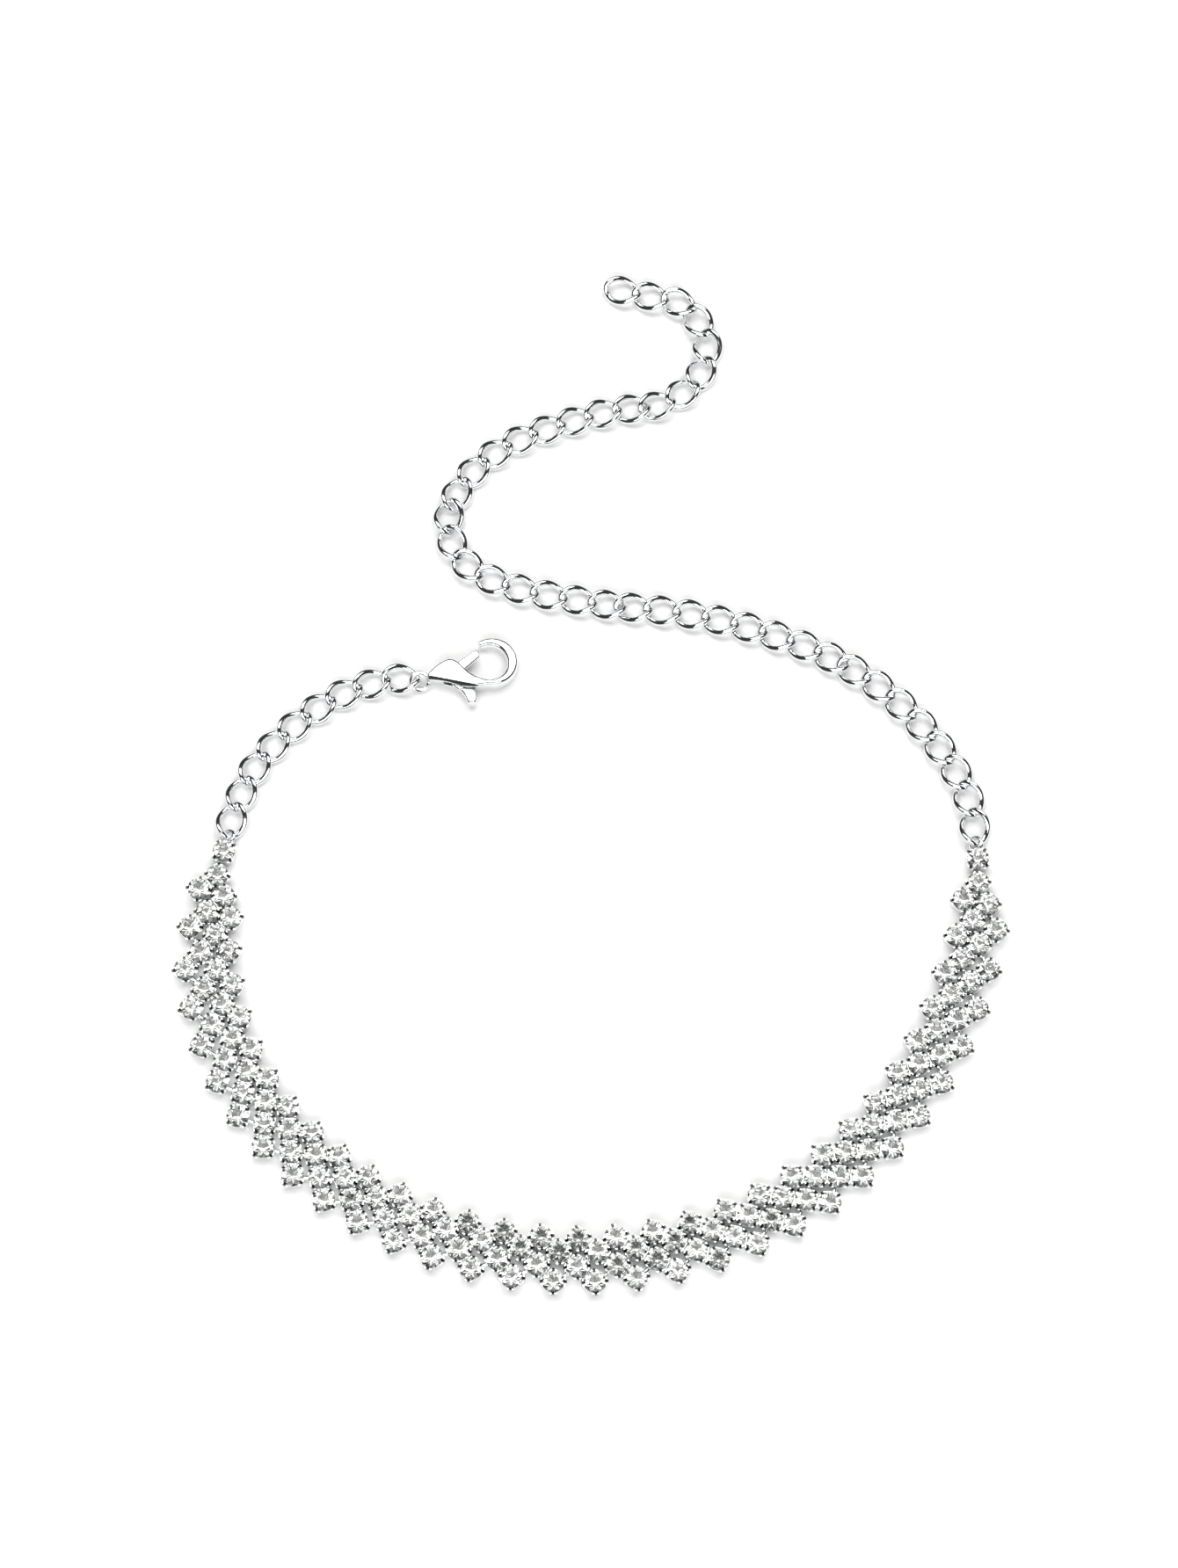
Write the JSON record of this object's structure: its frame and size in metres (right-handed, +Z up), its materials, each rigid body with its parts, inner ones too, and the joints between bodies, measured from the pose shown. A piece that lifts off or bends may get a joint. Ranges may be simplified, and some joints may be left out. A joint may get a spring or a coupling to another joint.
{
  "type": "link bracelet",
  "caption": "Open bracelet: a curved band of slanting crystal cup bars, with a lobster clasp on a short curb chain at one end and a long extension chain at the other.",
  "frame": {"origin": "on the table under the middle of the whole layout", "axes": "+Z up from the table, +X from the clasp's side to the extension chain's first end, +Y from the band's curve towards the chain's free end"},
  "size_m": [0.0936, 0.1216, 0.0022],
  "materials": {
    "silver_plate": "bright silver-coloured plating",
    "crystal": "clear foil-backed crystal, cut and polished",
    "rivet_steel": "plain steel"
  },
  "bodies": {
    "bracelet": {"crystal_bar_01": "silver_plate", "crystal_bar_02": "silver_plate", "crystal_bar_03": "silver_plate", "crystal_bar_04": "silver_plate", "crystal_bar_05": "silver_plate", "crystal_bar_06": "silver_plate", "crystal_bar_07": "silver_plate", "crystal_bar_08": "silver_plate", "crystal_bar_09": "silver_plate", "crystal_bar_10": "silver_plate", "crystal_bar_11": "silver_plate", "crystal_bar_12": "silver_plate", "crystal_bar_13": "silver_plate", "crystal_bar_14": "silver_plate", "crystal_bar_15": "silver_plate", "crystal_bar_16": "silver_plate", "crystal_bar_17": "silver_plate", "crystal_bar_18": "silver_plate", "crystal_bar_19": "silver_plate", "crystal_bar_20": "silver_plate", "crystal_bar_21": "silver_plate", "crystal_bar_22": "silver_plate", "crystal_bar_23": "silver_plate", "crystal_bar_24": "silver_plate", "crystal_bar_25": "silver_plate", "crystal_bar_26": "silver_plate", "crystal_bar_27": "silver_plate", "crystal_bar_28": "silver_plate", "crystal_bar_29": "silver_plate", "crystal_bar_30": "silver_plate", "crystal_bar_31": "silver_plate", "crystal_bar_32": "silver_plate", "crystal_bar_33": "silver_plate", "end_cup_clasp_side": "silver_plate", "end_cup_extension_side": "silver_plate", "clasp_chain": "silver_plate", "extension_chain_1": "silver_plate", "extension_chain_2": "silver_plate", "extension_chain_3": "silver_plate", "extension_chain_4": "silver_plate", "extension_chain_5": "silver_plate", "clasp_body": "silver_plate", "clasp_rivet": "rivet_steel"},
    "lever": {"clasp_lever": "silver_plate"}
  },
  "joints": [
    {"name": "clasp_lever_hinge", "type": "hinge", "parent": "bracelet", "child": "lever", "pos_m": [-0.0157, 0.01129, 0.0011], "axis": [0, 0, 1], "range_deg": [-25, 0], "stiffness_Nm_per_rad": 0.006, "springref_deg": 11.46}
  ]
}
